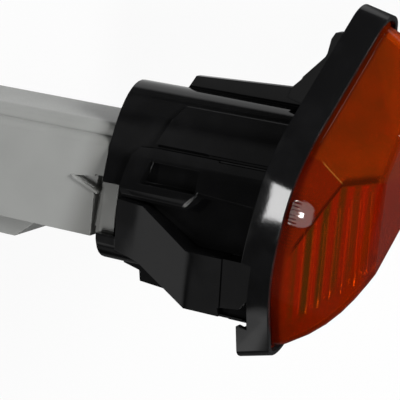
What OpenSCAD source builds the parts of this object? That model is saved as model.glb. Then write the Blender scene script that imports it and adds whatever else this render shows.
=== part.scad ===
// Side repeater lamp for a car: an amber lens in a black moulded housing, with a plug-in grey bulb holder.
// X runs along the lens, Y points into the car and Z is up.
// The origin is the middle of the face that rests on the body panel.

/* [Lens opening] */
// Distance from the middle to either end of the lens opening
opening_end = 39.6; // [36:0.1:44]
// Radius of the two rounded ends
end_r = 4.5; // [3:0.1:6]
// Length of the straight edge next to the blunt end
upper_run = 26.3; // [24:0.1:28]
// Radius of the wide shoulder
shoulder_r = 24; // [20:0.5:28]
// Radius of the full lower edge
belly_r = 56; // [50:1:62]
// Heading of the straight edge next to the blunt end, in degrees
upper_heading = 146.4; // [144:0.1:148]
// Heading at which the shoulder goes over into the lower edge, in degrees
belly_heading = 185; // [183:0.5:187]
// Heading of the straight edge next to the slim end, in degrees
lower_heading = 217; // [215:0.5:219]

/* [Bezel] */
// Depth of the skirt, from the panel to the lip's front edge
skirt_depth = 7; // [6:0.1:9]
// Thickness of the lip around the lens
lip_t = 1.1; // [0.8:0.1:1.6]
// How far the skirt flares past the lip at the slim end
end_flare = 3.3; // [0:0.1:5]
// Share by which the skirt's panel edge is wider than its lip at the slim end
side_flare = 0.25; // [0:0.05:0.4]
// Width of the flat edge that rests on the panel
seat_w = 1.5; // [1.2:0.1:2]
// Distance from the panel face to the back plate
plate_recess = 1.2; // [0.8:0.1:2]
// Depth of the notch in the skirt's rear edge beside the foot
skirt_notch = 2.3; // [1.4:0.1:2.6]
// Thickness of the back plate
plate_t = 2.3; // [1.8:0.1:3]

/* [Lens] */
// Height of the lens above the panel face
lens_h = 22.8; // [18:0.1:26]
// Wall of the lens shell
lens_wall = 1.8; // [1.4:0.1:2.4]
// Fullness of the keel's curve down to the slim end
keel_bulge = 7.8; // [5:0.1:9]
// Rounding of the lens's outer ridges
ridge_r = 2.2; // [2:0.1:2.6]
// Thickness of the lens flange
flange_t = 2.4; // [1.8:0.1:3]
// Gap around the lens flange
flange_gap = 0.15; // [0.1:0.05:0.3]
// Number of flutes inside each lower side of the lens
flute_count = 6; // [4:1:8]
// Radius of each flute
flute_r = 1.25; // [0.8:0.05:1.6]
// Length of each small notch in the lens flange
notch_w = 0.4; // [0.3:0.05:0.6]
// Distance from one small notch to the next
notch_pitch = 0.85; // [0.75:0.05:1.1]
// Number of small notches in each side of the lens flange
notch_count = 18; // [12:1:20]

/* [Hood] */
// Angle between the tail of the lamp and a line square to the panel, in degrees
tail_rake = 13.7; // [10:0.1:17]
// Distance from the panel's middle back to the hood's open end
hood_l = 43; // [40:0.5:46]
// Half the width of the hood at its foot
hood_half_w = 15.3; // [14.5:0.1:16]
// Height of the hood's crest above the tail's middle
crest_u = 14.8; // [14.4:0.1:15.4]
// Level at which the arch starts
arch_foot_u = -19; // [-19.5:0.5:-17]
// Level of the hood's underside
hood_floor_u = -25.2; // [-26.5:0.1:-24.8]
// Wall of the hood behind the bulkhead
hood_wall = 1.8; // [1.5:0.1:2.2]
// Depth of the recess in the hood's sides
recess_depth = 3; // [2.4:0.1:3.4]
// Wall behind the recess
recess_wall = 1.6; // [1.2:0.1:2]
// Radius of the hood's lower corners
hood_corner_r = 6; // [5:0.5:6.5]
// Height by which the side panel stands out of the hood
panel_step = 1; // [0.6:0.1:1.4]
// Thickness of the hook at the blunt end
end_hook_t = 3; // [2:0.1:5]
// Thickness of the top fin
fin_t = 1.8; // [1.4:0.1:2.4]
// Distance from the hood's middle to the top fin's near side
fin_offset = 1.8; // [1:0.1:2.4]
// Height of the top fin's rear end
fin_rear_u = 17.5; // [16.8:0.1:18.5]
// Height of the top fin's front end
fin_front_u = 18.7; // [18:0.1:19.5]

/* [Foot] */
// Distance behind the panel face at which the foot's rear face lies
foot_rear = 13.9; // [12:0.1:15]
// Distance behind the panel face of the step in the foot's side
foot_step = 5.3; // [4:0.1:6]
// Depth of the step in the foot's side
foot_step_in = 0.5; // [0.3:0.1:0.8]
// Half the width of the foot along its upper edge
foot_top_half_w = 18.1; // [17:0.1:18.6]
// Half the width of the foot along its lower edge
foot_bottom_half_w = 9.3; // [8.5:0.1:9.8]
// Level of the foot's upper edge
foot_top_u = -17.5; // [-18.5:0.1:-16.5]
// Level of the foot's lower edge
foot_bottom_u = -33.2; // [-34:0.1:-32.5]
// Distance behind the middle at which the arm leaves the collar
collar_front = 31.4; // [30:0.1:33]
// Thickness of the arm's and the foot's walls
foot_wall = 2; // [1.6:0.1:2.4]
// How far the foot reaches past the panel face, beside the skirt
foot_reach = 2.6; // [1:0.1:3]
// Height of the rim below the pockets in the foot's sides
foot_rim = 0.6; // [0.4:0.1:1]
// Height by which the rib stands out below the foot
rib_step = 1.4; // [1:0.1:2]
// Half the width of the rib
rib_half_w = 5; // [4:0.1:6]
// Height by which the collar stands out of the hood
collar_step = 0.7; // [0.4:0.1:1]

/* [Bulb holder] */
// Level of the bulb's axis
bulb_u = -6; // [-7:0.1:-5]
// Radius of the bore that the holder's nose passes through
bore_r = 8.9; // [8:0.1:9.2]
// Gap between the nose and the bore
nose_gap = 0.3; // [0.2:0.05:0.5]
// Thickness of the bulkhead with the bore
bulkhead_t = 1.8; // [1.4:0.1:2.4]
// Distance from the hood's open end to the bulkhead
bulkhead_inset = 4.3; // [4:0.1:4.8]
// Thickness of the rubber seal when pressed
seal_t = 1; // [0.8:0.1:1.4]
// Width of the rubber seal's ring
seal_w = 2; // [1.5:0.1:2.4]
// Thickness of the holder's flange
holder_flange_t = 3.8; // [3:0.1:4]
// Gap between the flange and the hood's inner wall
holder_gap = 0.4; // [0.3:0.05:0.6]
// Thickness of the collar behind the flange
holder_collar_t = 1.7; // [1.2:0.1:2.2]
// Length of the groove between the collar and the connector body
neck_l = 1; // [0.8:0.1:2]
// Distance from the middle back to the connector's open end
connector_end = 92; // [86:1:98]
// Half the width of the connector body
body_half_w = 12.1; // [11.6:0.1:12.4]
// Level of the ledge along the connector body's upper edges
body_ledge_u = 2.6; // [2.2:0.1:3]
// Level of the connector body's lower edge
body_bottom_u = -20.6; // [-21.5:0.1:-20]
// Level of the connector body's raised top
body_top_u = 5.6; // [4.4:0.1:6]
// Half the width of the raised top
top_half_w = 9.8; // [9.2:0.1:9.9]
// Radius of the connector body's ledge edges
body_edge_r = 2.3; // [1.8:0.1:2.3]
// Radius of the raised top's edges
top_edge_r = 1.6; // [0.8:0.1:1.8]
// Wall of the connector's socket
socket_wall = 1.9; // [1.5:0.1:2.4]
// Depth of the connector's socket
socket_depth = 16; // [14:0.5:20]
// Height of the keel under the connector body
keel_h = 5.1; // [3.5:0.1:6]
// Half the width of the keel
keel_half_w = 8.4; // [7:0.1:9]
// Distance from the connector body's front to the keel's sloping end
keel_setback = 14.8; // [12:0.1:20]
// Run of the keel's sloping end for each millimetre of its height
keel_slope = 1.27; // [1:0.05:1.5]
// Level of the pocket's top beside the hood
ramp_u = -6.2; // [-7:0.1:-5.6]
// Length of the pocket beside the hood
ramp_l = 6.4; // [5:0.1:8]
// Height of the pocket beside the hood
ramp_h = 3.6; // [3:0.1:4.5]
// Depth of the pocket
ramp_depth = 1.4; // [1:0.1:1.8]
// Thickness of the ramp below the pocket
ramp_t = 0.8; // [0.6:0.1:1.2]
// How far the ramp stands out of the connector body
ramp_step = 0.5; // [0.3:0.1:0.8]
// Gap between the connector body's shoulder and the hood
hood_gap = 0.3; // [0.2:0.05:0.5]
// How far the holder's nose reaches past the bulkhead
nose_reach = 4; // [3.6:0.1:6]
// Depth of the groove between the collar and the connector body
neck_groove = 1.2; // [0.8:0.1:1.6]

/* [Bulb] */
// Radius of the bulb's glass
glass_r = 5.1; // [4.8:0.05:5.2]
// Length of the glass, from the pinch to the tip
glass_l = 20; // [18:0.5:22]
// Width of the flat pinch
pinch_w = 9.4; // [9:0.1:9.6]
// Thickness of the flat pinch
pinch_t = 2.4; // [2:0.1:2.8]
// Length of the flat pinch
pinch_l = 7; // [6:0.1:8]
// Distance between the two contacts
contact_pitch = 6; // [5:0.1:7]
// Width of a contact blade
blade_w = 2.8; // [2.2:0.1:3]
// Thickness of a contact blade
blade_t = 0.8; // [0.6:0.1:1]
// Radius of a lead wire
lead_r = 0.25; // [0.2:0.05:0.4]
// Distance between the two lead wires
lead_pitch = 5; // [4.4:0.1:5.4]
// Length of a lead wire's fold up the pinch
lead_fold = 4.5; // [3.5:0.1:5.5]
// Depth to which the pinch sits in the holder's nose
pinch_seat = 6; // [5.4:0.1:6.4]
// Gap on each side of the pinch
pinch_gap = 0.2; // [0.1:0.05:0.4]
// Wall of the bulb's glass
glass_wall = 0.7; // [0.5:0.05:1]
// Rounding of the glass's shoulder
glass_shoulder_r = 1.6; // [1.2:0.1:2]
// Distance from the glass's shoulder to the filament
filament_h = 9; // [7:0.1:11]
// Radius of the filament's coil
filament_r = 0.35; // [0.3:0.05:0.5]
// Depth of the contact pins' tips inside the connector's open end
pin_inset = 4; // [3:0.1:6]

/* [Hidden] */
$fn = 48;
past = 60;
plate_front = plate_recess + plate_t;
seat_clearance = 0.7;
overlap = 1;
plate_overlap = 0.5;
notch_inner = foot_bottom_half_w / 2;
notch_x = foot_bottom_u / cos(tail_rake) - seat_clearance;
notch_l = foot_top_u / cos(tail_rake) + seat_clearance - notch_x;
bulkhead_rear = -hood_l + bulkhead_inset;
bulkhead_front = bulkhead_rear + bulkhead_t;
flange_front = bulkhead_rear - seal_t;
flange_rear = flange_front - holder_flange_t;
collar_rear = flange_rear - holder_collar_t;
body_front = collar_rear - neck_l;
nose_r = bore_r - nose_gap;
nose_front = bulkhead_front + nose_reach;
pinch_rear = nose_front - pinch_seat;
glass_rear = pinch_rear + pinch_l;
arch_h = crest_u - arch_foot_u;

// Edge of the lens opening. Straight runs and arcs are laid end to end, so "grow" gives a true parallel edge.
function last(v) = v[len(v) - 1];
function arc(p, r, from, to, steps) =
    [for (i = [1:steps]) let (h = from + (to - from) * i / steps)
        p + r * [sin(h) - sin(from), cos(from) - cos(h)]];
function run(p, l, heading) = p + l * [cos(heading), sin(heading)];
function half_edge(grow) =
    let (blunt = arc([opening_end + grow, 0], end_r + grow, 90, upper_heading, 6))
    let (shoulder_start = run(last(blunt), upper_run, upper_heading))
    let (shoulder = arc(shoulder_start, shoulder_r + grow, upper_heading, belly_heading, 12))
    let (belly = arc(last(shoulder), belly_r + grow, belly_heading, lower_heading, 14))
    let (end_y = -(end_r + grow) * cos(lower_heading))
    let (slim_start = run(last(belly), (last(belly)[1] - end_y) / -sin(lower_heading), lower_heading))
    concat([[opening_end + grow, 0]], blunt, shoulder, belly, [slim_start],
           arc(slim_start, end_r + grow, lower_heading, 270, 6));
function closed(half) = concat(half, [for (i = [len(half) - 2:-1:1]) [half[i][0], -half[i][1]]]);
function edge(grow) = closed(half_edge(grow));
// The same edge, drawn out and widened towards the slim end.
function flared_edge(grow) =
    [for (p = edge(grow)) let (t = p[0] < 0 ? pow(p[0] / opening_end, 2) : 0)
        [p[0] - end_flare * t, p[1] * (1 + side_flare * t)]];
slim_end = last(half_edge(0))[0];

// Half an arch of the hood, from the crest down to its straight side.
function arch(inset) =
    [for (i = [0:16]) let (a = 90 * i / 16)
        [arch_foot_u + (arch_h - inset) * cos(a), (hood_half_w - inset) * sin(a)]];
function hood_corner(inset) =
    let (r = hood_corner_r - inset, centre = [hood_floor_u + hood_corner_r, hood_half_w - hood_corner_r])
    [for (i = [0:6]) let (a = 90 + 90 * i / 6) centre + r * [cos(a), sin(a)]];
function hood_edge(inset) = closed(concat(arch(inset), hood_corner(inset), [[hood_floor_u + inset, 0]]));

// Frame of the bezel: x along the lens, y up, z out of the car.
module bezel_frame() {
    rotate([90, 0, 0]) children();
}

// Frame of the tail: x across it, y up, z along it towards the lens.
module tail_frame() {
    rotate([90, 0, tail_rake]) children();
}

// A point given by its distance along the tail, its level and its distance across.
function tail_point(f, u, n) =
    [f * sin(tail_rake) + u * cos(tail_rake), u * sin(tail_rake) - f * cos(tail_rake), n];

// A ring of points in a plane that lies parallel to the panel.
function ring(points, y) = [for (p = points) [p[0], y, p[1]]];

// A solid between two rings of as many points each.
module loft(rear, front) {
    n = len(rear);
    polyhedron(concat(rear, front),
        concat([[for (i = [0:n - 1]) i]], [[for (i = [n - 1:-1:0]) n + i]],
               [for (i = [0:n - 1]) let (j = (i + 1) % n) [i, n + i, j]],
               [for (i = [0:n - 1]) let (j = (i + 1) % n) [j, n + i, n + j]]));
}

// A prism along the tail with its outline in the tail's [x, y].
module tail_prism(points, rear, front) {
    translate([0, 0, rear]) linear_extrude(front - rear) polygon(points);
}

// A prism across the tail with its outline in [distance along, level].
module side_prism(points, inner, outer) {
    rotate([-90, 0, 0]) translate([0, 0, inner]) linear_extrude(outer - inner)
        polygon([for (p = points) [p[1], -p[0]]]);
}

// The half of space in front of a plane that lies parallel to the panel.
module ahead_of(z) {
    bezel_frame() translate([-past, -past, z]) cube([2 * past, 2 * past, past]);
}

module slab(points, rear, front) {
    translate([0, 0, rear]) linear_extrude(front - rear) polygon(points);
}

// Lens

// The front facet is level, falls off to the blunt end and goes over into the keel at the slim side.
keel_x = -13.2;
keel_end_x = slim_end + 2.5;
keel_end_h = skirt_depth + 0.45;
fall_x = 22;
fall = 0.24;
function lens_height(x) =
    x < keel_x ? keel_height((x - keel_x) / (keel_end_x - keel_x)) : lens_h - fall * max(x - fall_x, 0);
function keel_height(t) = lens_h + (keel_end_h - lens_h) * t + keel_bulge * (1 + 0.85 * t) * t * (1 - t);

front_ridge = [[keel_x, 0], [-1.5, 7.7], [11.4, 16], [20.3, 15.2], [33, 5]];
keel = [for (x = [-16:-4:-36]) [x, 0]];

// The lens's body as a hull, so that its facets follow the ridge, the keel and the edge.
module lens_body(inset, base) {
    r = ridge_r - inset;
    hull() {
        slab(edge(-1.2 - inset), base, skirt_depth - 0.6 - inset);
        for (p = concat(front_ridge, keel), side = [-1, 1])
            translate([p[0], side * max(p[1] - ridge_r, 0), lens_height(p[0]) - ridge_r]) sphere(r, $fn = 16);
    }
}

// Each flute lies between the ridge above it and the slope's lower border.
module flute(t) {
    from = (1 - t) * [keel_x, 0.4, lens_h - lens_wall - 0.4] + t * [-28.6, 3.8, skirt_depth + 2.6];
    to = (1 - t) * [9.3, 13.3, lens_h - lens_wall - 1.1] + t * [-6.4, 15.5, skirt_depth + 2.4];
    d = to - from;
    translate(from) rotate([0, acos(d[2] / norm(d)), atan2(d[1], d[0])]) cylinder(h = norm(d), r = flute_r);
}

module flutes() {
    for (side = [0, 1], i = [0:flute_count - 1])
        mirror([0, side, 0]) flute((i + 0.5) / flute_count);
}

module flange_notches() {
    for (i = [0:notch_count - 1], side = [-1, 1])
        translate([notch_pitch * i - 11, side * (20 + 0.11 * i), plate_front + flange_t - 0.5])
            cube([notch_w, 6, 2], center = true);
}

module lens() {
    color([0.9, 0.32, 0.02]) bezel_frame() difference() {
        union() {
            slab(edge(-flange_gap), plate_front, plate_front + flange_t);
            lens_body(0, plate_front + 0.5);
        }
        difference() {
            lens_body(lens_wall, plate_front - 1);
            flutes();
        }
        flange_notches();
    }
}

// Housing

// The bezel: a flaring skirt with a pocket for the lens in front and a flat edge round a recess behind.
module bezel() {
    difference() {
        loft(ring(flared_edge(lip_t), 0), ring(edge(lip_t), -skirt_depth));
        bezel_frame() {
            slab(edge(0), plate_front, skirt_depth + 1);
            slab(flared_edge(lip_t - seat_w), -1, plate_recess);
            for (side = [0, 1])
                mirror([0, side, 0]) translate([notch_x, notch_inner, -1])
                    cube([notch_l, past, skirt_notch + 1]);
        }
    }
}

hood_rear = -hood_l;
hood_front = 12;

// The upper side of the hood stands out as a panel from behind the fin to the bezel.
module side_panel() {
    intersection() {
        tail_prism(hood_edge(-panel_step), hood_rear, hood_front);
        side_prism([[-27, 12], [-29.2, 8.8], [-30.8, 5], [-31.2, 3.4], [12, 3.4], [12, 12]], 2, 20);
    }
}

// Guard frame of the latch window on the near side.
latch_guard = [[-34.7, 2.2], [-36.4, 0.4], [-37.5, -4], [-38, -7.2], [-37.2, -8.4], [-21.6, -8.6], [-18.5, -5],
               [12, -6.6], [12, 2.6], [-31, 2.6]];
latch_window = [[-31.4, -0.4], [-19.2, -0.4], [-19.2, -5.4], [-33.2, -5.4]];
latch_slot = [[-31, 3.5], [-18.2, 3.5], [-18.2, 2.8], [-31, 2.8]];
long_slot = [[-15, 3.6], [4, 3.6], [4, 2.2], [-15, 2.2]];
// The recess below the guard runs down to the arm and the foot.
side_recess = [[-37.4, -9.2], [-collar_front, -10.1], [-18.5, foot_top_u], [12, foot_top_u], [12, -6.8],
               [-17.6, -6], [-21, -9.4]];
side_notch = [[-hood_l - 1, -7], [-37.9, -7], [-37.9, -18.6], [-hood_l - 1, -18.6]];
recess_floor = hood_half_w - recess_depth;
// In front of the collar the hood's lower corners give way to the foot.
corner_cut = [[-collar_front, -10.1], [-18.5, foot_top_u], [12, foot_top_u], [12, -40], [-collar_front, -40]];

module guard_frame() {
    intersection() {
        side_prism(latch_guard, hood_half_w - 3.5, hood_half_w + 0.2);
        tail_prism(hood_edge(-1.2), hood_rear, hood_front);
    }
}

module hood_collar() {
    side_prism([[-37.9, -9.5], [-collar_front, -10.1], [-collar_front, -23], [-37.6, -21.4]],
               hood_half_w - 1.6, hood_half_w + collar_step);
}

// Cross-section of the foot across the tail. Its sides lean in as the bezel's lower edge does.
function foot_edge(inset, step) =
    let (bottom_u = foot_bottom_u + 2 * inset, top_u = foot_top_u - inset)
    let (bottom_w = foot_bottom_half_w - 0.3 * inset - step, top_w = foot_top_half_w - 1.4 * inset - step)
    [[top_u, top_w], [bottom_u, bottom_w], [bottom_u, -bottom_w], [top_u, -top_w]];
// Where a line along the tail crosses a plane that lies parallel to the panel.
function at_plane(points, y) =
    [for (p = points) [p[0] / cos(tail_rake) - y * tan(tail_rake), p[1]]];

// The arm that widens from the collar to the foot, and the foot itself.
module foot(inset) {
    arm_half_w = hood_half_w + collar_step - inset;
    arm_edge = [[-10.1 - inset, arm_half_w], [-23 + inset, arm_half_w], [-23 + inset, -arm_half_w],
                [-10.1 - inset, -arm_half_w]];
    rear = foot_rear - inset;
    loft([for (p = arm_edge) tail_point(-collar_front + inset, p[0], p[1])],
         ring(at_plane(foot_edge(inset, 0), rear), rear));
    foot_block(foot_edge(inset, 0), rear + 0.1, foot_step);
    foot_block(foot_edge(inset, foot_step_in), foot_step + 0.1, inset - foot_reach);
}

// A length of the foot between two planes that lie parallel to the panel.
module foot_block(points, rear, front) {
    loft(ring(at_plane(points, rear), rear), ring(at_plane(points, front), front));
}

// A pocket in each of the foot's sides beside the skirt.
foot_pocket = [[-13.4, foot_bottom_u + 2.3], [-8.1, foot_bottom_u + 3], [-4.6, foot_bottom_u + 6.8],
               [-4.6, foot_bottom_u + foot_rim], [-13.4, foot_bottom_u + foot_rim]];

module foot_pockets() {
    tail_frame() for (side = [0, 1])
        mirror([0, side, 0]) side_prism(foot_pocket, foot_bottom_half_w - 1.2, past);
}

module foot_rib() {
    rear = -hood_l + 2;
    under_u = hood_floor_u + overlap;
    side_prism([[rear, under_u], [rear, under_u - 2.9], [rear + 4.2, under_u - 3.9],
                [rear + 4.6, under_u - 6.4], [rear + 12.2, under_u - 7],
                [-24, foot_bottom_u - 0.2], [-14, foot_bottom_u],
                [-13, foot_bottom_u - rib_step], [-8.4, foot_bottom_u - rib_step], [-8.4, under_u - 5.6],
                [-28, under_u]], -rib_half_w, rib_half_w);
}

module top_fin() {
    root_u = crest_u - 1.2;
    side_prism([[-32.4, root_u], [-30.1, fin_rear_u], [-6.3, fin_front_u], [1, fin_front_u], [3.4, root_u]],
               -fin_offset - fin_t, -fin_offset);
}

// Ribs behind the plate that hook the lamp behind the panel at its blunt end.
module end_hook() {
    translate([0, 0, -end_hook_t / 2]) linear_extrude(end_hook_t)
        polygon([[15, 1 - plate_front], [15, 9.6], [17.4, 9.4], [20, 7.8], [20.8, 7.6], [26.8, 4.2], [27.7, 4],
                 [31, 4.2], [32.7, 3.7], [33.2, 2.4], [33.6, 1 - plate_front]]);
}

// Chamber behind the lens, the pocket for the holder's flange and the bore between them.
module hood_hollows() {
    tail_frame() {
        tail_prism(hood_edge(recess_depth + recess_wall), bulkhead_front, hood_front);
        tail_prism(hood_edge(hood_wall), hood_rear - 1, bulkhead_rear);
        translate([bulb_u, 0, bulkhead_rear - 1]) cylinder(h = nose_front + 1 - bulkhead_rear, r = bore_r);
    }
}

module hood_outside() {
    tail_frame() {
        tail_prism(hood_edge(0), hood_rear, hood_front);
        side_panel();
        guard_frame();
        hood_collar();
        foot_rib();
        top_fin();
    }
}

module side_cuts() {
    tail_frame() {
        side_prism(side_recess, recess_floor, past);
        side_prism(latch_window, recess_floor, past);
        side_prism(latch_slot, recess_floor - 1, past);
        side_prism(long_slot, recess_floor + 0.4, past);
        side_prism(side_notch, recess_floor - 3, past);
    }
}

module corner_cuts() {
    tail_frame() for (side = [0, 1])
        mirror([0, side, 0]) side_prism(corner_cut, foot_bottom_half_w, past);
}

module housing() {
    color([0.09, 0.095, 0.1]) difference() {
        union() {
            bezel();
            end_hook();
            difference() {
                hood_outside();
                side_cuts();
                corner_cuts();
                ahead_of(plate_recess + plate_overlap);
            }
            difference() {
                foot(0);
                foot_pockets();
                bezel_frame() slab(edge(plate_overlap), plate_recess + plate_overlap, past);
            }
        }
        foot(foot_wall);
        hood_hollows();
    }
}

// Bulb holder

module bulb_frame() {
    tail_frame() translate([bulb_u, 0, 0]) children();
}

// Points of a rounded corner between a top at level u and a side at half width w.
function rounded(u, w, r, steps) =
    [for (i = [0:steps]) let (a = 90 * i / steps) [u - r + r * cos(a), w - r + r * sin(a)]];

// Half of the connector body's section: the raised top, the ledge with its rounded edge and the flat side.
body_half = concat(
    [[body_top_u, 0]],
    rounded(body_top_u, top_half_w, top_edge_r, 4),
    [[body_ledge_u, top_half_w]],
    rounded(body_ledge_u, body_half_w, body_edge_r, 6),
    [[body_bottom_u, body_half_w], [body_bottom_u, 0]]);

module connector_body() {
    tail_prism(closed(body_half), -connector_end, body_front);
}

// Keel below the connector with a sloping front end.
module connector_keel() {
    top_u = body_bottom_u + overlap;
    bottom_u = body_bottom_u - keel_h;
    slope_end = body_front - keel_setback;
    slope_start = slope_end - keel_slope * (top_u - bottom_u);
    side_prism([[-connector_end, top_u], [-connector_end, bottom_u], [slope_start, bottom_u],
                [slope_end, top_u]], -keel_half_w, keel_half_w);
}

// The body runs on above the ramp until it is close behind the hood.
module connector_shoulder() {
    intersection() {
        tail_prism(closed(body_half), body_front - overlap, -hood_l - hood_gap);
        translate([ramp_u, -past, -past]) cube([past, 2 * past, 2 * past]);
    }
}

// A pocket on the near side with a thin ramp below it, which turns the holder home in the hood.
ramp_rear = body_front - ramp_l + neck_l;
ramp_tip_u = ramp_u - 0.3 * ramp_h;

module ramp_pocket() {
    front = -hood_l + overlap;
    side_prism([[ramp_rear, ramp_tip_u], [body_front, ramp_u - 0.1 * ramp_h], [front, ramp_u],
                [front, ramp_u - ramp_h], [body_front, ramp_u - 0.8 * ramp_h]], body_half_w - ramp_depth, past);
}

module ramp() {
    side_prism([[ramp_rear - ramp_t, ramp_tip_u], [ramp_rear, ramp_tip_u], [collar_rear, ramp_u - ramp_h],
                [collar_rear, ramp_u - ramp_h - ramp_t], [ramp_rear, ramp_tip_u - ramp_t]],
               body_half_w - ramp_depth - overlap, body_half_w + ramp_step);
}

function neck_edge(inset) =
    let (bottom_u = body_bottom_u + 1 + inset, top_u = body_ledge_u - 1.6 - inset)
    let (bottom_w = body_half_w - 0.2 - inset, top_w = top_half_w - 0.8 - inset)
    [[bottom_u, -bottom_w], [bottom_u, bottom_w], [top_u, top_w], [top_u, -top_w]];

module holder_flange() {
    tail_prism(hood_edge(hood_wall + holder_gap), flange_rear, flange_front);
    tail_prism(neck_edge(0), collar_rear, flange_rear + overlap);
    tail_prism(neck_edge(neck_groove), body_front - overlap, collar_rear + overlap);
}

module connector_socket() {
    socket_h = body_ledge_u - body_bottom_u - 2 * socket_wall;
    socket_w = 2 * (top_half_w - socket_wall);
    translate([body_bottom_u + socket_wall, -socket_w / 2, -connector_end - overlap])
        cube([socket_h, socket_w, socket_depth + overlap]);
}

// Pocket in the nose that takes the bulb's pinch and the two contacts.
module pinch_pocket() {
    pocket_w = pinch_w + 2 * pinch_gap;
    pocket_rear = pinch_rear - 3 * lead_r - 2 * pinch_gap;
    translate([-pocket_w / 2, -contact_n - blade_t, pocket_rear])
        cube([pocket_w, 2 * (contact_n + blade_t), nose_front + overlap - pocket_rear]);
}

module bulb_holder() {
    color([0.62, 0.62, 0.59]) difference() {
        tail_frame() {
            difference() {
                union() {
                    connector_body();
                    connector_shoulder();
                }
                ramp_pocket();
            }
            ramp();
            connector_keel();
            holder_flange();
            translate([bulb_u, 0, flange_front - overlap])
                cylinder(h = nose_front + overlap - flange_front, r = nose_r);
        }
        tail_frame() connector_socket();
        bulb_frame() {
            pinch_pocket();
            contact_strips();
        }
    }
}

module holder_seal() {
    color([0.12, 0.12, 0.12]) bulb_frame() translate([0, 0, flange_front]) difference() {
        cylinder(h = seal_t, r = bore_r + seal_w);
        translate([0, 0, -1]) cylinder(h = seal_t + 2, r = bore_r);
    }
}

// Contacts: each is a strip that starts as a pin in the socket and ends beside the bulb's pinch.
contact_n = pinch_t / 2 + 2 * lead_r;
contact_rear = -connector_end + pin_inset;
contact_front = nose_front - 4 * lead_r;

module contact_strip(side) {
    near_n = side > 0 ? contact_n : -contact_n - blade_t;
    translate([side * contact_pitch / 2 - blade_w / 2, near_n, contact_rear])
        cube([blade_w, blade_t, contact_front - contact_rear]);
}

module contact_strips() {
    contact_strip(1);
    contact_strip(-1);
}

module contact_upper() {
    color([0.78, 0.68, 0.42]) bulb_frame() contact_strip(1);
}

module contact_lower() {
    color([0.78, 0.68, 0.42]) bulb_frame() contact_strip(-1);
}

// Bulb

lead_gap = 0.03;
pinch_cap = 1.2;
lead_u = lead_pitch / 2;
filament_z = glass_rear + filament_h;

// Outline of the glass from its shoulder to its round tip.
function glass_profile(r, rear) =
    let (e = glass_shoulder_r, dome = glass_rear + glass_l - glass_r)
    concat([[0, rear], [r - e, rear]],
           [for (i = [0:6]) let (a = 90 * i / 6) [r - e + e * sin(a), rear + e - e * cos(a)]],
           [for (i = [0:10]) let (a = 90 * i / 10) [r * cos(a), dome + r * sin(a)]]);

module bulb_glass() {
    color([0.95, 0.75, 0.45]) bulb_frame() difference() {
        union() {
            rotate_extrude() polygon(glass_profile(glass_r, glass_rear));
            translate([-pinch_w / 2, -pinch_t / 2, pinch_rear]) cube([pinch_w, pinch_t, pinch_l + pinch_cap]);
        }
        rotate_extrude() polygon(glass_profile(glass_r - glass_wall, glass_rear + pinch_cap));
        for (side = [-1, 1])
            translate([side * lead_u, 0, pinch_rear - overlap])
                cylinder(h = pinch_l + pinch_cap + 2 * overlap, r = lead_r + lead_gap);
    }
}

// A lead runs from the filament down through the pinch and folds back up its face.
module bulb_lead(side) {
    fold_z = pinch_rear - 2 * lead_r;
    fold_n = side * (pinch_t / 2 + lead_r);
    color([0.7, 0.7, 0.68]) bulb_frame() translate([side * lead_u, 0, 0]) {
        translate([0, 0, fold_z]) cylinder(h = filament_z - fold_z, r = lead_r, $fn = 24);
        translate([0, fold_n, fold_z]) cylinder(h = lead_fold, r = lead_r, $fn = 24);
        translate([0, 0, fold_z]) sphere(lead_r, $fn = 24);
        translate([0, fold_n, fold_z]) sphere(lead_r, $fn = 24);
        translate([0, 0, fold_z]) rotate([-side * 90, 0, 0]) cylinder(h = abs(fold_n), r = lead_r, $fn = 24);
    }
}

module bulb_lead_upper() {
    bulb_lead(1);
}

module bulb_lead_lower() {
    bulb_lead(-1);
}

module filament() {
    color([0.35, 0.35, 0.37]) bulb_frame() translate([-lead_u + lead_r, 0, filament_z - filament_r])
        rotate([0, 90, 0]) cylinder(h = 2 * (lead_u - lead_r), r = filament_r, $fn = 24);
}

lens();
housing();
bulb_holder();
holder_seal();
contact_upper();
contact_lower();
bulb_glass();
bulb_lead_upper();
bulb_lead_lower();
filament();
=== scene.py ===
"""Looks of the side repeater lamp: moulded edges, amber lens, bulb, studio and camera."""

import logging
import math
from dataclasses import dataclass, field
from enum import Enum
from typing import Any, Iterable, Sequence

import bmesh
import bpy
from mathutils import Matrix, Vector


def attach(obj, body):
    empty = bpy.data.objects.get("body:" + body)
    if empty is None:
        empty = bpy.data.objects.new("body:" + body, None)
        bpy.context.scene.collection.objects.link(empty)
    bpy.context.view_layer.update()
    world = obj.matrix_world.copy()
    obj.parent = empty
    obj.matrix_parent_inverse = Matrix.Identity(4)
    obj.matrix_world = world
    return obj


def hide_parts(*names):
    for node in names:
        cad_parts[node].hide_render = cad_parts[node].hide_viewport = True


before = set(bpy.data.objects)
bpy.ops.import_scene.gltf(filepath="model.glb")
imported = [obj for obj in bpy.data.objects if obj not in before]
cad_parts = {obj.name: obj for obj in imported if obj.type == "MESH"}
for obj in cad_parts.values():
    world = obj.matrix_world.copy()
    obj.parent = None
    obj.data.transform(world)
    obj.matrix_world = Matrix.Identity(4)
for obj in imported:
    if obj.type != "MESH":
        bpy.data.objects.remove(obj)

log = logging.getLogger("lamp")
logging.basicConfig(level=logging.INFO, format="%(name)s: %(message)s")

MM = 0.001
BODY = "root"
RAKE = math.radians(13.7)
Colour = tuple[float, float, float]
Triple = tuple[float, float, float]
Span = tuple[float, float]


def tail_point(along: float, level: float, across: float) -> Vector:
    """Turns a place on the lamp's tail into the row frame.

    Args:
        along: Distance along the tail towards the lens, in mm.
        level: Level above the tail's middle, in mm.
        across: Distance across the tail, in mm.

    Returns:
        The same place in metres.
    """
    x = along * math.sin(RAKE) + level * math.cos(RAKE)
    y = level * math.sin(RAKE) - along * math.cos(RAKE)
    return Vector((x, y, across)) * MM


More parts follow.
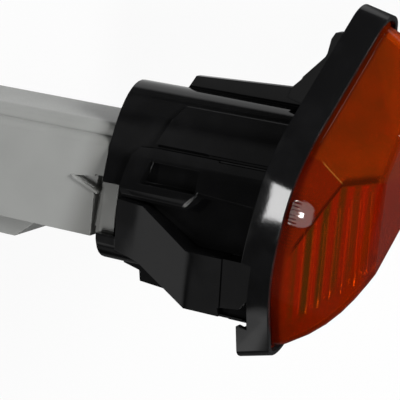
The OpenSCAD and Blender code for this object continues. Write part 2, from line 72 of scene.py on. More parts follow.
def tail_matrix(along: float, level: float, across: float) -> Matrix:
    """Makes the frame whose Z runs along the tail towards the lens.

    Args:
        along: Distance of its origin along the tail towards the lens, in mm.
        level: Level of its origin above the tail's middle, in mm.
        across: Distance of its origin across the tail, in mm.

    Returns:
        The frame as a matrix.
    """
    up = Vector((math.cos(RAKE), math.sin(RAKE), 0.0))
    forward = Vector((math.sin(RAKE), -math.cos(RAKE), 0.0))
    side = forward.cross(up)
    turn = Matrix((up, side, forward)).transposed().to_4x4()
    return Matrix.Translation(tail_point(along, level, across)) @ turn


class Wire:
    """A shader socket that takes part in sums with other sockets and with plain numbers."""

    def __init__(self, paint: "Paint", socket: Any) -> None:
        """Keeps the material's builder and the output socket."""
        self.paint = paint
        self.socket = socket

    def _sum(self, operation: str, first: Any, second: Any) -> "Wire":
        """Adds one Math node and returns its value."""
        return self.paint.node("ShaderNodeMath", {"operation": operation}, {0: first, 1: second})[0]

    def __add__(self, other: Any) -> "Wire":
        """Returns self + other."""
        return self._sum("ADD", self, other)

    __radd__ = __add__

    def __sub__(self, other: Any) -> "Wire":
        """Returns self - other."""
        return self._sum("SUBTRACT", self, other)

    def __rsub__(self, other: Any) -> "Wire":
        """Returns other - self."""
        return self._sum("SUBTRACT", other, self)

    def __mul__(self, other: Any) -> "Wire":
        """Returns self * other."""
        return self._sum("MULTIPLY", self, other)

    __rmul__ = __mul__

    def __truediv__(self, other: Any) -> "Wire":
        """Returns self / other."""
        return self._sum("DIVIDE", self, other)

    def __pow__(self, other: Any) -> "Wire":
        """Returns self to the power of other."""
        return self._sum("POWER", self, other)

    def over(self, limit: Any) -> "Wire":
        """Returns 1 where the value is above the limit, and 0 elsewhere."""
        return self._sum("GREATER_THAN", self, limit)

    def least(self, other: Any) -> "Wire":
        """Returns the smaller of two values."""
        return self._sum("MINIMUM", self, other)

    def most(self, other: Any) -> "Wire":
        """Returns the larger of two values."""
        return self._sum("MAXIMUM", self, other)

    def wave(self) -> "Wire":
        """Returns a wave from 0 to 1 that peaks where the value is a whole number."""
        return self._sum("COSINE", self * (2.0 * math.pi), 0.0) * 0.5 + 0.5

    def band(self, low: float, high: float, start: float = 0.0, end: float = 1.0) -> "Wire":
        """Eases the value from start to end as it goes from low to high.

        Args:
            low: Value at which the ease starts.
            high: Value at which it ends.
            start: Result below low.
            end: Result above high.

        Returns:
            The eased value.
        """
        return self.paint.node(
            "ShaderNodeMapRange",
            {"interpolation_type": "SMOOTHSTEP"},
            {"Value": self, "From Min": low, "From Max": high, "To Min": start, "To Max": end},
        )[0]


class Paint:
    """Builds the nodes of one material or world."""

    def __init__(self, owner: Any) -> None:
        """Starts with no nodes.

        Args:
            owner: The material or world that holds the nodes.
        """
        self.owner = owner
        owner.use_nodes = True
        self.tree = owner.node_tree
        self.tree.nodes.clear()

    @classmethod
    def named(cls, name: str) -> "Paint":
        """Returns the builder of a new material with this name."""
        return cls(bpy.data.materials.new(name))

    def node(
        self, kind: str, settings: dict[str, Any] | None = None, inputs: dict[Any, Any] | None = None
    ) -> list[Wire]:
        """Adds any node.

        Args:
            kind: The node's type.
            settings: Its properties, set first.
            inputs: Values or links of its sockets, by name or by number.

        Returns:
            Its outputs.
        """
        made = self.tree.nodes.new(kind)
        for key, value in (settings or {}).items():
            setattr(made, key, value)
        for key, value in (inputs or {}).items():
            socket = made.inputs[key]
            if isinstance(value, Wire):
                self.tree.links.new(value.socket, socket)
            else:
                socket.default_value = self._fit(value)
        return [Wire(self, out) for out in made.outputs]

    @staticmethod
    def _fit(value: Any) -> Any:
        """Gives a colour of three numbers the alpha that a colour socket needs."""
        if isinstance(value, tuple) and len(value) == 3:
            return (*value, 1.0)
        return list(value) if isinstance(value, Vector) else value

    def place(self) -> Wire:
        """Returns the Object coordinates."""
        return self.node("ShaderNodeTexCoord")[3]

    def axes(self, place: Wire | None = None) -> list[Wire]:
        """Returns the x, y and z of a vector, or of the Object coordinates in metres."""
        return self.node("ShaderNodeSeparateXYZ", None, {0: place or self.place()})

    def axes_mm(self) -> list[Wire]:
        """Returns the x, y and z of the Object coordinates in mm."""
        return [axis * 1000.0 for axis in self.axes()]

    def tail_axes(self) -> tuple[Wire, Wire]:
        """Returns the distance along the tail towards the lens and the level above its middle, in mm."""
        x, y = self.axes_mm()[:2]
        along = x * math.sin(RAKE) - y * math.cos(RAKE)
        level = x * math.cos(RAKE) + y * math.sin(RAKE)
        return along, level

    def rays(self) -> tuple[Wire, Wire, Wire]:
        """Returns 1 for camera rays, for mirrored rays and for rays through clear plastic."""
        outputs = self.node("ShaderNodeLightPath")
        return outputs[0], outputs[3], outputs[6]

    def normal(self) -> Wire:
        """Returns the surface's normal."""
        return self.node("ShaderNodeNewGeometry")[1]

    def vector(self, parts: Sequence[Any]) -> Wire:
        """Returns the vector of three values."""
        return self.node("ShaderNodeCombineXYZ", None, dict(enumerate(parts)))[0]

    def unit(self, way: Wire) -> Wire:
        """Returns a vector at length 1."""
        return self.node("ShaderNodeVectorMath", {"operation": "NORMALIZE"}, {0: way})[0]

    def turn(self, share: Wire, normal: Wire, way: Wire) -> Wire:
        """Returns a normal that is turned to another way by a share."""
        return self.node("ShaderNodeMix", {"data_type": "VECTOR"}, {0: share, 4: normal, 5: way})[1]

    def noise(self, size: float, detail: float = 3.0, stretch: Colour = (1.0, 1.0, 1.0)) -> Wire:
        """Adds noise with a grain size.

        Args:
            size: Size of the grain, in mm.
            detail: Number of finer layers.
            stretch: Scale along each axis.

        Returns:
            A value about 0.5.
        """
        mapped = self.node("ShaderNodeMapping", None, {"Vector": self.place(), "Scale": Vector(stretch)})[0]
        return self.node(
            "ShaderNodeTexNoise", None, {"Vector": mapped, "Scale": 1.0 / (size * MM), "Detail": detail}
        )[0]

    def blend(self, share: Any, first: Any, second: Any) -> Wire:
        """Mixes two colours by a share."""
        return self.node("ShaderNodeMix", {"data_type": "RGBA"}, {0: share, 6: first, 7: second})[2]

    def relief(self, height: Wire, depth: float, normal: Wire | None = None) -> Wire:
        """Turns a height into a normal.

        Args:
            height: Height from 0 to 1.
            depth: The height of 1, in mm.
            normal: A normal that this relief is laid on.

        Returns:
            The bumped normal.
        """
        inputs: dict[Any, Any] = {"Height": height, "Distance": depth * MM, "Strength": 1.0}
        if normal is not None:
            inputs["Normal"] = normal
        return self.node("ShaderNodeBump", None, inputs)[0]

    def done(self, shader: Wire) -> bpy.types.Material:
        """Connects the shader and returns the material."""
        self.node("ShaderNodeOutputMaterial", None, {"Surface": shader})
        return self.owner

    def surface(self, inputs: dict[Any, Any]) -> bpy.types.Material:
        """Returns the finished material, whose shader takes these inputs."""
        return self.done(self.node("ShaderNodeBsdfPrincipled", None, inputs)[0])


@dataclass(frozen=True)
class BlackMoulding:
    """Black moulded plastic with a soft gloss and faint flow marks.

    Attributes:
        colour: Colour of the clean plastic.
        dust: Colour where fine dust lies.
        roughness: Middle of the roughness.
        skirt_half: Half the depth of the bezel's skirt, in mm.
        crown: Height by which the skirt rolls over, in mm.
        arm_normal: Way that the near side of the arm faces.
        arm_rear: Where the arm ends, along the tail in mm.
        collar_fold: Where the collar goes over into the arm, along the tail in mm.
        foot_fold: Where the foot goes over into the arm, in mm from the panel.
        arm_half: Least distance of the arm's sides from the middle plane, in mm.
        lower_corner: Place along the tail and level of the arm's lower corner, in mm.
        lower_slope: Fall of the arm's lower edge for each millimetre along the tail.
        recess_floor: Least and largest distance of the recess's floor from the middle plane, in mm.
        recess_front: Least y of the recess, in mm.
        recess_tilt: How far the recess's floor is turned, which keeps it from mirroring the key lamp.
    """

    colour: Colour = (0.0035, 0.0035, 0.0037)
    dust: Colour = (0.0055, 0.0055, 0.0058)
    roughness: float = 0.085
    skirt_half: float = 3.5
    crown: float = 0.2
    arm_normal: Triple = (-0.26, 0.0, 0.966)
    arm_rear: float = -38.2
    collar_fold: Span = (-33.5, -29.5)
    foot_fold: Span = (11.5, 15.5)
    arm_half: float = 8.5
    lower_corner: Span = (-31.4, -10.1)
    lower_slope: float = 0.574
    recess_floor: Span = (6.0, 12.6)
    recess_front: float = -4.0
    recess_tilt: float = 0.2

    def material(self) -> bpy.types.Material:
        """Returns the node material."""
        paint = Paint.named("black_moulding")
        flow = paint.noise(9.0, 4.0)
        grain = paint.noise(0.35, 2.0)
        rough = flow.band(0.3, 0.7, self.roughness - 0.01, self.roughness + 0.01)
        return paint.surface(
            {
                "Base Color": paint.blend(flow.band(0.42, 0.7), self.colour, self.dust),
                "Roughness": rough + (grain - 0.5) * 0.03,
                "IOR": 1.5,
                "Normal": paint.relief(grain, 0.003, paint.relief(flow, 0.03, self.crowned_skirt(paint))),
            }
        )

    def crowned_skirt(self, paint: Paint) -> Wire:
        """Lets the bezel's skirt roll over slightly towards its lip.

        Args:
            paint: The material's builder.

        Returns:
            The normal.
        """
        across = ((paint.axes_mm()[1] + self.skirt_half) / self.skirt_half).most(-1.0).least(1.0)
        return paint.relief(across - across * across * 0.5, self.crown, self.soft_arm(paint))

    def soft_arm(self, paint: Paint) -> Wire:
        """Lets the arm's sides go over into the collar and the foot in soft folds.

        Args:
            paint: The material's builder.

        Returns:
            The normal, with the recess's floor turned too.
        """
        y, z = paint.axes_mm()[1:]
        along, level = paint.tail_axes()
        normal = paint.normal()
        facing = paint.axes(normal)[2]
        depth = (z * z) ** 0.5
        side = z.over(0.0) * 2.0 - 1.0
        below = (level - self.lower_corner[1] + (along - self.lower_corner[0]) * self.lower_slope).over(0.2)
        share = along.band(*self.collar_fold, 0.4, 1.0) * along.over(self.arm_rear) * y.band(*self.foot_fold)
        share = share * (1.0 - below) * (facing * facing).over(0.64) * depth.over(self.arm_half)
        flat = paint.vector((self.arm_normal[0], self.arm_normal[1], side * self.arm_normal[2]))
        mixed = paint.turn(share, normal, flat)
        recess = depth.over(self.recess_floor[0]) * (1.0 - depth.over(self.recess_floor[1]))
        recess = recess * (facing * facing).over(0.95) * y.over(self.recess_front)
        tilted = paint.vector((self.recess_tilt, self.recess_tilt, side))
        return paint.unit(paint.turn(recess, mixed, tilted))


@dataclass(frozen=True)
class GreyMoulding:
    """Grey satin plastic of the bulb holder, with painted shade close behind the hood, where the hood's
    shadow falls.

    Attributes:
        colour: Colour of the clean plastic.
        shade: Colour of its flow marks.
        hood_painted_shade: Colour of the painted shade behind the hood.
        roughness: Middle of the roughness.
        hood_painted_shade_edge: Where the painted shade starts and where it is full, along the tail in mm.
        hood_painted_shade_slope: Shift of that edge for each millimetre of level.
        hood_painted_shade_share: Share of the painted shade where it is full.
    """

    colour: Colour = (0.295, 0.3, 0.29)
    shade: Colour = (0.275, 0.28, 0.27)
    hood_painted_shade: Colour = (0.13, 0.13, 0.12)
    roughness: float = 0.42
    hood_painted_shade_edge: Span = (-51.0, -42.5)
    hood_painted_shade_slope: float = 0.25
    hood_painted_shade_share: float = 0.7

    def material(self) -> bpy.types.Material:
        """Returns the node material."""
        paint = Paint.named("grey_moulding")
        flow = paint.noise(14.0, 3.0)
        grain = paint.noise(0.3, 2.0)
        along, level = paint.tail_axes()
        # painted shade: the base colour darkens close behind the hood, where the hood's shadow falls
        hood_painted_shade = (along - level * self.hood_painted_shade_slope).band(*self.hood_painted_shade_edge, 0.0, self.hood_painted_shade_share)
        colour = paint.blend(flow.band(0.35, 0.7), self.colour, self.shade)
        return paint.surface(
            {
                "Base Color": paint.blend(hood_painted_shade, colour, self.hood_painted_shade),
                "Roughness": grain.band(0.3, 0.7, self.roughness - 0.05, self.roughness + 0.07),
                "IOR": 1.5,
                "Normal": paint.relief(grain, 0.006, paint.relief(flow, 0.04)),
            }
        )


@dataclass(frozen=True)
class AmberPlastic:
    """Clear amber plastic of the lens, with painted light and shade: light and dark bands where the inner
    flutes refract, a darker shaded copy on the fluted sides and corner, and a highlight along the crease.

    Places are in mm. A line is a slope and a start: its x is y times the slope, plus the start.

    Attributes:
        clear: Colour of the smooth facets.
        hazy: Their colour where the plastic is hazy.
        painted_shade_sides: Darker colour of the fluted sides and the corner, a painted shade.
        painted_light_band: Colour of a band of painted light, where an inner flute refracts light.
        painted_shade_band: Colour of a band of painted shade, where an inner flute shows the dark housing.
        painted_crease_highlight: Colour of the highlight painted along the crease.
        groove_shade: Colour of the painted shade along the border of the fluted sides.
        edge: Colour of the front edge and the rim.
        tick_shade: Colour of the painted shade in the rim's fine teeth.
        transmission: Share of the light that goes through.
        roughness: Least roughness.
        border_lines: The two lines that bound the fluted sides towards the blunt end.
        corner_line: Line that bounds the corner between the fluted and the smooth sides.
        corner_limit: Largest x of the corner.
        flute_phase: Bands for each millimetre of x, y and distance across, and the bands at the origin.
        dome_place: Middle of the shallow dome at the lens's upper corner.
        dome_normal: Way that the dome faces.
        dome_radius: Radius of its curve.
        dome_reach: Radius of its outline.
        tick_pitch: Pitch of the rim's fine teeth.
    """

    clear: Colour = (0.37, 0.038, 0.0004)
    hazy: Colour = (0.31, 0.036, 0.0006)
    painted_shade_sides: Colour = (0.3, 0.02, 0.0005)
    painted_light_band: Colour = (0.42, 0.018, 0.0002)
    painted_shade_band: Colour = (0.13, 0.035, 0.001)
    painted_crease_highlight: Colour = (0.6, 0.2, 0.03)
    groove_shade: Colour = (0.05, 0.006, 0.0)
    edge: Colour = (0.1, 0.004, 0.0)
    tick_shade: Colour = (0.1, 0.01, 0.0)
    transmission: float = 0.72
    roughness: float = 0.04
    border_lines: tuple[Span, Span] = ((-3.02, -38.6), (-0.52, -0.6))
    corner_line: Span = (0.544, 16.1)
    corner_limit: float = 11.0
    flute_phase: tuple[float, float, float, float] = (0.0571, -0.3299, -0.0961, -1.8518)
    dome_place: Triple = (-1.7, -9.1, 19.5)
    dome_normal: Triple = (-0.1555, -0.2157, 0.964)
    dome_radius: float = 46.0
    dome_reach: float = 3.6
    tick_pitch: float = 0.85

    def material(self) -> bpy.types.Material:
        """Returns the node material."""
        paint = Paint.named("amber_lens")
        place = paint.axes_mm()
        x, y, z = place
        across = (z * z) ** 0.5
        haze = paint.noise(5.0, 3.0)
        border = self.line(y, self.border_lines[0]).least(self.line(y, self.border_lines[1]))
        per_x, per_y, per_across, start = self.flute_phase
        phase = x * per_x + y * per_y + across * per_across + start
        inside = (border - x).band(-0.2, 0.6)
        ends = y.band(-22.3, -20.8, 0.5, 0.0).most(y.band(-8.4, -7.4, 0.0, 0.7))
        ticks = self.ticks(x, y)
        colour = paint.blend(haze.band(0.35, 0.65), self.clear, self.hazy)
        # painted shade: a darker copy of the amber on the fluted sides and the corner
        colour = paint.blend(self.corner(x, y, border).most(inside), colour, self.painted_shade_sides)
        # painted highlight along the short crease
        colour = paint.blend(self.crease_highlight_line(x, y), colour, self.painted_crease_highlight)
        # painted light and shade: light and dark bands for the refracting inner flutes
        colour = paint.blend(inside * self.fluted(across, phase), colour, self.bands(paint, phase))
        # painted shade along the border of the fluted sides
        colour = paint.blend(self.groove(x - border, y, across) * 0.75, colour, self.groove_shade)
        colour = paint.blend(ends, colour, self.edge)
        return paint.surface(
            {
                # painted shade in the rim's fine teeth, which also carry a relief
                "Base Color": paint.blend(ticks * 0.5, colour, self.tick_shade),
                "Roughness": haze.band(0.3, 0.8, self.roughness, self.roughness + 0.05),
                "IOR": 1.49,
                "Transmission Weight": self.transmission,
                "Normal": paint.relief(ticks, -0.02, paint.relief(haze, 0.01, self.dome(paint, place))),
            }
        )

    @staticmethod
    def line(y: Wire, line: Span) -> Wire:
        """Returns the x of a line at each y."""
        return y * line[0] + line[1]

    def dome(self, paint: Paint, place: Sequence[Wire]) -> Wire:
        """Bends the surface as a shallow dome at the lens's upper corner.

        Args:
            paint: The material's builder.
            place: The x, y and z.

        Returns:
            The normal.
        """
        away = [axis - middle for axis, middle in zip(place, self.dome_place)]
        reach = (away[0] * away[0] + away[1] * away[1] + away[2] * away[2]) ** 0.5
        bent = [part + way * self.dome_radius for part, way in zip(away, self.dome_normal)]
        share = reach.band(self.dome_reach - 0.5, self.dome_reach + 0.3, 1.0, 0.0)
        return paint.turn(share, paint.normal(), paint.unit(paint.vector(bent)))

    def bands(self, paint: Paint, phase: Wire) -> Wire:
        """Paints the light and shade of the inner flutes as bands, whose contrast fades towards the front.

        Args:
            paint: The material's builder.
            phase: Number of the band, with a dark one at each whole number.

        Returns:
            The colour.
        """
        share = phase.band(0.0, 5.0, 1.0, 0.35) * phase.band(-1.2, -0.6, 0.3, 1.0)
        return paint.blend(phase.wave().band(0.1, 0.95) * share, self.painted_light_band, self.painted_shade_band)

    @staticmethod
    def fluted(across: Wire, phase: Wire) -> Wire:
        """Returns 1 on the sides, from the first band to the last.

        Args:
            across: Distance from the middle plane.
            phase: Number of the band.
        """
        return across.band(4.0, 7.5) * phase.band(-1.7, -1.1) * phase.band(4.6, 5.2, 1.0, 0.0)

    def corner(self, x: Wire, y: Wire, border: Wire) -> Wire:
        """Returns 1 between the fluted sides and the smooth upper sides.

        Args:
            x: The place's x.
            y: The place's y.
            border: The x of the fluted sides' border.
        """
        limit = self.line(y, self.corner_line).least(self.corner_limit)
        return (limit - x).band(0.0, 0.5) * (x - border).band(-0.2, 0.3)

    def crease_highlight_line(self, x: Wire, y: Wire) -> Wire:
        """Returns 1 on the short crease at the corner's upper end, where a highlight is painted.

        Args:
            x: The place's x.
            y: The place's y.
        """
        away = x - self.line(y, self.corner_line)
        ends = y.band(-15.4, -14.8) * y.band(-10.5, -9.4, 1.0, 0.0)
        return (away * away).band(0.01, 0.04, 1.0, 0.0) * ends

    @staticmethod
    def groove(away: Wire, y: Wire, across: Wire) -> Wire:
        """Returns 1 along the border of the fluted sides, where shade is painted.

        Args:
            away: Distance from the border along x.
            y: The place's y.
            across: Distance from the middle plane.
        """
        ends = y.band(-22.0, -21.0) * y.band(-9.5, -8.5, 1.0, 0.0) * across.band(7.0, 9.0)
        return away.band(-0.4, 0.2) * away.band(0.8, 2.6, 1.0, 0.0) * ends

    def ticks(self, x: Wire, y: Wire) -> Wire:
        """Returns 1 on the fine teeth along the lens's rim.

        Args:
            x: The place's x.
            y: The place's y.
        """
        teeth = (x * (1.0 / self.tick_pitch)).wave() * y.band(-9.0, -8.2)
        return teeth * x.band(-13.0, -11.0) * x.band(3.5, 5.0, 1.0, 0.0)


@dataclass(frozen=True)
class SoftRubber:
    """Black rubber of the seal."""

    colour: Colour = (0.02, 0.02, 0.02)

    def material(self) -> bpy.types.Material:
        """Returns the node material."""
        paint = Paint.named("seal_rubber")
        grain = paint.noise(0.5, 3.0)
        return paint.surface(
            {
                "Base Color": paint.blend(grain, self.colour, (0.045, 0.045, 0.046)),
                "Roughness": grain.band(0.3, 0.7, 0.6, 0.8),
                "Normal": paint.relief(grain, 0.02),
            }
        )


@dataclass(frozen=True)
class Metal:
    """A bare metal with drawn or rolled grain."""

    name: str
    colour: Colour
    stain: Colour
    roughness: float
    grain: float = 0.4

    def material(self) -> bpy.types.Material:
        """Returns the node material."""
        paint = Paint.named(self.name)
        marks = paint.noise(self.grain, 3.0, (1.0, 0.15, 1.0))
        tarnish = paint.noise(3.0, 3.0)
        return paint.surface(
            {
                "Base Color": paint.blend(tarnish.band(0.45, 0.75), self.colour, self.stain),
                "Metallic": 1.0,
                "Roughness": marks.band(0.3, 0.7, self.roughness - 0.08, self.roughness + 0.1),
                "Normal": paint.relief(marks, 0.006),
            }
        )


@dataclass(frozen=True)
class BulbGlass:
    """Amber tinted glass of the wedge bulb."""

    colour: Colour = (1.0, 0.62, 0.22)

    def material(self) -> bpy.types.Material:
        """Returns the node material."""
        paint = Paint.named("bulb_glass")
        waves = paint.noise(4.0, 2.0)
        return paint.surface(
            {
                "Base Color": paint.blend(waves, self.colour, (1.0, 0.7, 0.32)),
                "Roughness": waves.band(0.3, 0.7, 0.01, 0.04),
                "IOR": 1.47,
                "Transmission Weight": 0.9,
                "Normal": paint.relief(waves, 0.02),
            }
        )


class Finish(Enum):
    """The finishes of this lamp, each with the record's slot as its value."""

    HOUSING = "housing"
    HOLDER = "holder"
    LENS = "lens"
    SEAL = "seal"
    CONTACT = "contact"
    GLASS = "glass"
    LEAD = "lead"
    FILAMENT = "filament"


class Finishes:
    """Keeps one material for each finish."""

    def __init__(self) -> None:
        """Makes each material once."""
        self.materials = {
            Finish.HOUSING: BlackMoulding().material(),
            Finish.HOLDER: GreyMoulding().material(),
            Finish.LENS: AmberPlastic().material(),
            Finish.SEAL: SoftRubber().material(),
            Finish.CONTACT: Metal("tinned_strip", (0.66, 0.6, 0.45), (0.5, 0.42, 0.26), 0.3).material(),
            Finish.GLASS: BulbGlass().material(),
            Finish.LEAD: Metal("bare_wire", (0.6, 0.58, 0.55), (0.45, 0.4, 0.34), 0.28).material(),
            Finish.FILAMENT: Metal(
                "drawn_tungsten", (0.3, 0.3, 0.31), (0.22, 0.22, 0.24), 0.4, 0.2
            ).material(),
        }

    def dress(self, piece: bpy.types.Object, finish: Finish) -> None:
        """Gives a piece its material.

        Args:
            piece: The mesh object.
            finish: Which finish it takes.
        """
        piece.data.materials.clear()
        piece.data.materials.append(self.materials[finish])


def copy_of(node: str) -> bmesh.types.BMesh:
    """Copies a CAD node's mesh and joins its flat faces.

    Args:
        node: The node's name.

    Returns:
        The merged copy.
    """
    shape = bmesh.new()
    shape.from_mesh(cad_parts[node].data)
    bmesh.ops.remove_doubles(shape, verts=shape.verts, dist=0.002 * MM)
    bmesh.ops.dissolve_limit(
        shape, angle_limit=math.radians(0.3), verts=shape.verts, edges=shape.edges, delimit={"NORMAL"}
    )
    return shape


def round_edges(shape: bmesh.types.BMesh, width: float, least_angle: float, least_length: float) -> None:
    """Rounds the sharp edges of a moulding.

    Args:
        shape: The mesh, changed in place.
        width: Width of the rounding, in mm.
        least_angle: Edges that turn by less stay, in degrees.
        least_length: Shorter edges stay, in mm.
    """
    limit = math.radians(least_angle)
    roomy = {v for v in shape.verts if all(e.calc_length() > least_length * MM for e in v.link_edges)}
    sharp = [
        e
        for e in shape.edges
        if len(e.link_faces) == 2 and e.calc_face_angle(0.0) > limit and all(v in roomy for v in e.verts)
    ]
    bmesh.ops.bevel(
        shape,
        geom=sharp,
        offset=width * MM,
        offset_type="OFFSET",
        affect="EDGES",
        segments=2,
        profile=0.5,
        clamp_overlap=False,
        material=-1,
    )


def settle(shape: bmesh.types.BMesh, name: str, smooth_angle: float = 30.0) -> bpy.types.Object:
    """Turns a bmesh into a piece with smooth faces and sharp edges.

    Args:
        shape: The mesh, freed here.
        name: The piece's name.
        smooth_angle: Edges that turn by more stay sharp, in degrees.

    Returns:
        The new object, at the origin.
    """
    limit = math.radians(smooth_angle)
    for face in shape.faces:
        face.smooth = True
    for edge in shape.edges:
        edge.smooth = len(edge.link_faces) == 2 and edge.calc_face_angle(0.0) < limit
    mesh = bpy.data.meshes.new(name)
    shape.to_mesh(mesh)
    shape.free()
    piece = bpy.data.objects.new(name, mesh)
    bpy.context.scene.collection.objects.link(piece)
    even = piece.modifiers.new("even_shading", "WEIGHTED_NORMAL")
    even.keep_sharp = True
    return piece


@dataclass
class Moulding:
    """A moulded piece that takes its shape from the CAD node and gets rounded edges."""

    node: str
    finish: Finish
    edge_width: float = 0.18
    least_angle: float = 35.0
    least_length: float = 0.5
    smooth_angle: float = 30.0

    def build(self, finishes: Finishes) -> bpy.types.Object:
        """Makes the piece, dresses it and lets it stand for its node.

        Args:
            finishes: The materials.

        Returns:
            The piece.
        """
        shape = copy_of(self.node)
        if self.edge_width > 0.0:
            round_edges(shape, self.edge_width, self.least_angle, self.least_length)
        piece = settle(shape, self.node + "_moulded", self.smooth_angle)
        finishes.dress(piece, self.finish)
        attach(piece, BODY)
        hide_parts(self.node)
        log.info("%s: %d faces", piece.name, len(piece.data.polygons))
        return piece


@dataclass
class BulbUnit:
    """The wedge bulb's small parts."""

    bulb_level: float = -6.0
    lead_level: float = 2.5
    filament_along: float = -22.9
    coil_radius: float = 0.3
    wire_radius: float = 0.06
    coil_turns: int = 14

    def build(self, finishes: Finishes) -> None:
        """Makes the coil and dresses the bulb.

        Args:
            finishes: The materials.
        """
        coil = self.coil()
        finishes.dress(coil, Finish.FILAMENT)
        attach(coil, BODY)
        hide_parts("filament")
        log.info("%s: %d faces", coil.name, len(coil.data.polygons))
        for node, finish in (
            ("bulb_glass", Finish.GLASS),
            ("bulb_lead_upper", Finish.LEAD),
            ("bulb_lead_lower", Finish.LEAD),
        ):
            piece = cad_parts[node]
            piece.data.materials.clear()
            piece.data.materials.append(finishes.materials[finish])

    def coil(self) -> bpy.types.Object:
        """Returns the filament as a coil wound between the leads."""
        shape = bmesh.new()
        ring = bmesh.ops.create_circle(shape, segments=8, radius=self.wire_radius * MM)["verts"]
        edges = list({e for v in ring for e in v.link_edges})
        half = self.lead_level - 0.25
        bmesh.ops.translate(shape, vec=Vector((0.0, self.coil_radius * MM, -half * MM)), verts=ring)
        steps = self.coil_turns * 12
        bmesh.ops.spin(
            shape,
            geom=ring + edges,
            cent=(0.0, 0.0, 0.0),
            axis=(0.0, 0.0, 1.0),
            dvec=(0.0, 0.0, 2.0 * half * MM / steps),
            angle=2.0 * math.pi * self.coil_turns,
            steps=steps,
        )
        # the wire's ring is turned so that the coil runs from lead to lead
        quarter = Matrix.Rotation(math.pi / 2, 3, "Y")
        bmesh.ops.rotate(shape, cent=(0, 0, 0), matrix=quarter, verts=shape.verts)
        bmesh.ops.transform(
            shape, matrix=tail_matrix(self.filament_along, self.bulb_level, 0.0), verts=shape.verts
        )
        bmesh.ops.recalc_face_normals(shape, faces=shape.faces)
        return settle(shape, "filament_coil", 60.0)


@dataclass(frozen=True)
class Lamp:
    """One soft rectangular lamp that faces the middle of the part.

    Attributes:
        name: Its name.
        place: Where its middle hangs, in metres.
        across: Direction of its width.
        size: Its width and height, in metres.
        radiance: Its brightness, where white paper in full light is about 1.
    """

    name: str
    place: Triple
    across: Triple
    size: Span
    radiance: float

    def hang(self) -> None:
        """Makes the lamp and turns it towards the middle."""
        data = bpy.data.lights.new(self.name, "AREA")
        data.shape = "RECTANGLE"
        data.size, data.size_y = self.size
        data.energy = self.radiance * math.pi * self.size[0] * self.size[1]
        lamp = bpy.data.objects.new(self.name, data)
        way = Vector(self.place).normalized()
        width = Vector(self.across) - way * way.dot(Vector(self.across))
        width.normalize()
        turn = Matrix((width, way.cross(width), way)).transposed().to_4x4()
        lamp.matrix_world = Matrix.Translation(Vector(self.place)) @ turn
        lamp.visible_camera = False
        bpy.context.scene.collection.objects.link(lamp)


@dataclass(frozen=True)
class Patch:
    """A round pale patch of the surroundings, which shows only where it is mirrored.

    Attributes:
        towards: Direction of its middle.
        inner: Radius of its even part, in degrees.
        outer: Radius at which it ends, in degrees.
        level: Its brightness.
    """

    towards: Triple
    inner: float
    outer: float
    level: float


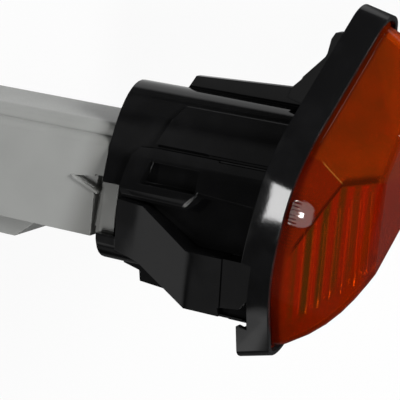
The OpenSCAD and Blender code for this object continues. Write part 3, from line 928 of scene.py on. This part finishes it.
@dataclass
class Studio:
    """Camera, lamps, floor and white surroundings.

    Attributes:
        eye: The camera's place.
        right: Way to the right of the picture.
        up: Way up the picture.
        back: Way from the part to the camera.
        lens_mm: Focal length on a sensor 36 mm wide.
        floor_level: Height of the floor, in mm.
        floor_half: Half the floor's width, in metres.
        matt_share: Share of the floor that takes the shadow.
        near_reach: Distances at which the mirrored floor starts and ends to fade, in metres.
        far_level: What is left of the mirrored floor far off.
        slant: Shift of the mirrored floor's edges for each metre of x.
        shade_edge: Where the mirrored floor goes over from its shade to its light, in metres.
        table: Brightness of the mirrored floor in the light.
        shade: Brightness of the mirrored floor in the shade.
        dark_air: Brightness of the mirrored surroundings between the patches.
        air_light: Brightness of the surroundings as a light.
        lamps: The lamps, whose reflections the photograph shows.
        patches: The patches that the mirrored surroundings hold.
    """

    eye: Vector = field(default_factory=lambda: Vector((127.16, -143.58, 385.17)) * MM)
    right: Vector = field(default_factory=lambda: Vector((0.2956, -0.8327, -0.4682)))
    up: Vector = field(default_factory=lambda: Vector((0.8991, 0.4082, -0.1583)))
    back: Vector = field(default_factory=lambda: Vector((0.3229, -0.3742, 0.8693)))
    lens_mm: float = 175.9
    floor_level: float = -60.0
    floor_half: float = 3.0
    matt_share: float = 0.1
    near_reach: Span = (0.18, 0.35)
    far_level: float = 0.08
    slant: float = 0.35
    shade_edge: Span = (0.035, 0.075)
    table: float = 0.75
    shade: float = 0.07
    dark_air: float = 0.03
    air_light: float = 0.12
    lamps: tuple[Lamp, ...] = (
        Lamp("key", (-0.235, 0.0925, 0.53), (-0.911, -0.05, -0.41), (0.23, 0.125), 15.0),
        Lamp("lens_side", (-0.3375, -0.039, 0.481), (0.0, 1.0, 0.0), (0.125, 0.165), 2.2),
        Lamp("lens_core", (-0.3375, -0.039, 0.478), (0.0, 1.0, 0.0), (0.028, 0.028), 45.0),
        Lamp("low_front", (0.4, -0.56, 0.19), (0.0, 0.0, 1.0), (0.36, 0.3), 35.0),
    )
    patches: tuple[Patch, ...] = (
        Patch((-0.7, 0.47, 0.54), 7.0, 16.0, 0.5),
        Patch((-1.0, -0.12, -0.05), 2.0, 10.5, 0.5),
        Patch((0.66, 0.68, 0.32), 5.0, 18.0, 0.05),
        Patch((-0.23, 0.38, 0.9), 2.0, 6.5, 0.25),
        Patch((-0.95, 0.2, 0.22), 4.0, 12.0, 0.1),
        Patch((-0.49, 0.37, 0.79), 2.0, 9.0, 0.1),
        Patch((0.38, 0.53, 0.76), 5.0, 14.0, 0.11),
    )

    def build(self) -> None:
        """Sets up everything that isn't part of the lamp."""
        self.camera()
        for lamp in self.lamps:
            lamp.hang()
        self.floor()
        self.surroundings()
        view = bpy.context.scene.view_settings
        view.view_transform = "Standard"
        log.info("studio: camera at %s", tuple(round(v, 3) for v in self.eye))

    def camera(self) -> None:
        """Places the camera at the photograph's angle."""
        data = bpy.data.cameras.new("camera")
        data.sensor_width = 36.0
        data.lens = self.lens_mm
        data.clip_start = 0.01
        data.clip_end = 20.0
        camera = bpy.data.objects.new("camera", data)
        turn = Matrix((self.right, self.up, self.back)).transposed().to_4x4()
        camera.matrix_world = Matrix.Translation(self.eye) @ turn
        bpy.context.scene.collection.objects.link(camera)
        bpy.context.scene.camera = camera

    def floor(self) -> None:
        """Lays the pale floor, which shows as white and keeps the lamp's shadow."""
        shape = bmesh.new()
        bmesh.ops.create_grid(shape, x_segments=1, y_segments=1, size=self.floor_half)
        bmesh.ops.translate(shape, vec=Vector((0.0, 0.0, self.floor_level * MM)), verts=shape.verts)
        floor = settle(shape, "floor")
        paint = Paint.named("pale_floor")
        camera, glossy, through = paint.rays()
        x, y = paint.axes()[:2]
        near = ((x * x + y * y) ** 0.5).band(*self.near_reach, 1.0, self.far_level)
        mirrored = near * (y + x * self.slant).band(*self.shade_edge, self.shade, self.table)
        side = x.band(-0.6, -0.3, 0.7, 0.0) * y.band(0.0, 0.1, 1.0, 0.0)
        side = side * (y - x * self.slant).band(0.05, 0.25)
        level = camera.most(through).most(mirrored.most(side))
        seen = (camera.most(through) * (1.0 - self.matt_share)).most(glossy)
        matt = paint.node("ShaderNodeBsdfDiffuse", None, {"Color": (0.8, 0.8, 0.8)})[0]
        glow = paint.node("ShaderNodeEmission", None, {"Color": (1.0, 1.0, 1.0), "Strength": level})[0]
        shader = paint.node("ShaderNodeMixShader", None, {0: seen, 1: matt, 2: glow})[0]
        floor.data.materials.append(paint.done(shader))

    def surroundings(self) -> None:
        """Makes the world white where it is seen, and softer where it lights."""
        world = bpy.data.worlds.new("studio_air")
        bpy.context.scene.world = world
        paint = Paint(world)
        camera, glossy, through = paint.rays()
        way = paint.node("ShaderNodeTexCoord")[0]
        mirrored: Any = self.dark_air
        for patch in self.patches:
            inputs = {0: way, 1: Vector(patch.towards).normalized()}
            aim = paint.node("ShaderNodeVectorMath", {"operation": "DOT_PRODUCT"}, inputs)[1]
            rim = math.cos(math.radians(patch.outer))
            mirrored = aim.band(rim, math.cos(math.radians(patch.inner))) * patch.level + mirrored
        seen = camera.most(through)
        lit = (1.0 - seen.most(glossy)) * self.air_light
        strength = seen.most(glossy * mirrored).most(lit)
        air = paint.node("ShaderNodeBackground", None, {"Color": (1.0, 1.0, 1.0), "Strength": strength})[0]
        paint.node("ShaderNodeOutputWorld", None, {"Surface": air})


def main() -> None:
    """Builds the lamp's pieces in order, then the studio."""
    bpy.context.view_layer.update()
    finishes = Finishes()
    for moulding in (
        Moulding("housing", Finish.HOUSING, smooth_angle=36.0),
        Moulding("lens", Finish.LENS, edge_width=0.0, smooth_angle=22.0),
        Moulding("bulb_holder", Finish.HOLDER, edge_width=0.2),
        Moulding("holder_seal", Finish.SEAL, edge_width=0.2),
        Moulding("contact_upper", Finish.CONTACT, edge_width=0.08),
        Moulding("contact_lower", Finish.CONTACT, edge_width=0.08),
    ):
        moulding.build(finishes)
    BulbUnit().build(finishes)
    Studio().build()


if __name__ == "__main__":
    main()
